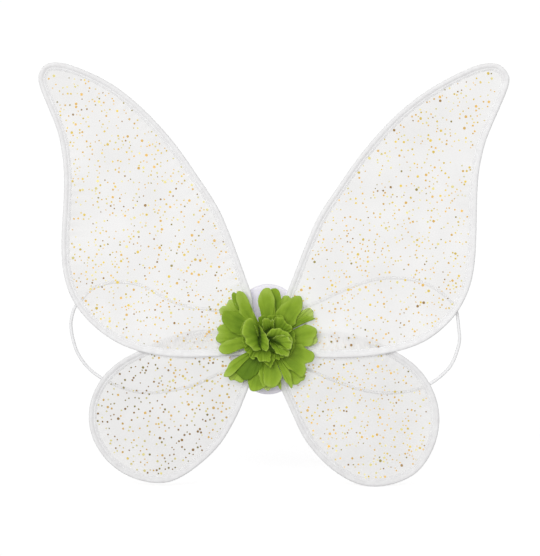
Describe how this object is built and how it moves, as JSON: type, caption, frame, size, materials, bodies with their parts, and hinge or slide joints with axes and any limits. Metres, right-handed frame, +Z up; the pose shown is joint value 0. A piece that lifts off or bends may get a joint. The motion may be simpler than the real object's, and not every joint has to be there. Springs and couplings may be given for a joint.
{
  "type": "costume fairy wings",
  "caption": "Child's fairy wings: wire-framed sheer mesh wings with gold dots on a felt back pad, a green chiffon flower in front and elastic shoulder straps.",
  "frame": {"origin": "centre of the back pad's flat rear face, which rests on the wearer's back", "axes": "+X to the right seen from the flower's side, +Z up as worn, +Y out of the pad's rear face towards the wearer; the flower faces -Y"},
  "size_m": [0.4691, 0.0428, 0.4228],
  "materials": {
    "steel_wire": "bright drawn spring wire",
    "crimp": "plain crimped sleeve",
    "binding": "white knitted edge binding, folded and stitched",
    "wing_mesh": "sheer white mesh with gold foil dots",
    "felt": "matte pressed felt, pale lavender white",
    "elastic": "white braided elastic cord",
    "chiffon": "green chiffon with pinked edges",
    "thread": "green sewing thread"
  },
  "bodies": {
    "hub": {"back_pad": "felt", "flower_base": "felt", "flower_thread": "thread", "left_strap_lower_end": "elastic", "left_strap_upper_end": "elastic", "lower_left_crimp_sleeve": "crimp", "lower_left_root_wire_bottom": "steel_wire", "lower_left_root_wire_top": "steel_wire", "lower_right_crimp_sleeve": "crimp", "lower_right_root_wire_bottom": "steel_wire", "lower_right_root_wire_top": "steel_wire", "middle_petals": "chiffon", "outer_petal_1": "chiffon", "outer_petal_10": "chiffon", "outer_petal_11": "chiffon", "outer_petal_2": "chiffon", "outer_petal_3": "chiffon", "outer_petal_4": "chiffon", "outer_petal_5": "chiffon", "outer_petal_6": "chiffon", "outer_petal_7": "chiffon", "outer_petal_8": "chiffon", "outer_petal_9": "chiffon", "right_strap_lower_end": "elastic", "right_strap_upper_end": "elastic", "rosette_inner_cup": "chiffon", "rosette_outer_cup": "chiffon", "upper_left_crimp_sleeve": "crimp", "upper_left_root_wire_bottom": "steel_wire", "upper_left_root_wire_top": "steel_wire", "upper_right_crimp_sleeve": "crimp", "upper_right_root_wire_bottom": "steel_wire", "upper_right_root_wire_top": "steel_wire"},
    "upper_left_wing": {"upper_left_wire": "steel_wire", "upper_left_binding": "binding", "upper_left_mesh": "wing_mesh"},
    "upper_right_wing": {"upper_right_wire": "steel_wire", "upper_right_binding": "binding", "upper_right_mesh": "wing_mesh"},
    "lower_left_wing": {"lower_left_wire": "steel_wire", "lower_left_binding": "binding", "lower_left_mesh": "wing_mesh"},
    "lower_right_wing": {"lower_right_wire": "steel_wire", "lower_right_binding": "binding", "lower_right_mesh": "wing_mesh"},
    "left_strap": {"left_strap_loop": "elastic"},
    "right_strap": {"right_strap_loop": "elastic"}
  },
  "joints": [
    {"name": "upper_left_fold", "type": "hinge", "parent": "hub", "child": "upper_left_wing", "pos_m": [-0.023, -0.0136, 0], "axis": [0, 0, 1], "range_deg": [0, 60], "deforming": ["outer_petal_1", "outer_petal_9", "outer_petal_10", "outer_petal_11", "middle_petals"]},
    {"name": "lower_left_fold", "type": "hinge", "parent": "hub", "child": "lower_left_wing", "pos_m": [-0.023, -0.0136, 0], "axis": [0, 0, 1], "range_deg": [0, 60]},
    {"name": "upper_right_fold", "type": "hinge", "parent": "hub", "child": "upper_right_wing", "pos_m": [0.023, -0.0136, 0], "axis": [0, 0, -1], "range_deg": [0, 60], "deforming": ["outer_petal_3", "outer_petal_4", "outer_petal_5", "outer_petal_6", "outer_petal_7"]},
    {"name": "lower_right_fold", "type": "hinge", "parent": "hub", "child": "lower_right_wing", "pos_m": [0.023, -0.0136, 0], "axis": [0, 0, -1], "range_deg": [0, 60]},
    {"name": "left_strap_swing", "type": "hinge", "parent": "hub", "child": "left_strap", "pos_m": [-0.038, -0.0033, 0], "axis": [0, 0, -1], "range_deg": [0, 90]},
    {"name": "right_strap_swing", "type": "hinge", "parent": "hub", "child": "right_strap", "pos_m": [0.038, -0.0033, 0], "axis": [0, 0, 1], "range_deg": [0, 90]}
  ],
  "couplings": [
    {"joint": "lower_left_fold", "follows": "upper_left_fold", "ratio": 1},
    {"joint": "lower_right_fold", "follows": "upper_right_fold", "ratio": 1}
  ]
}
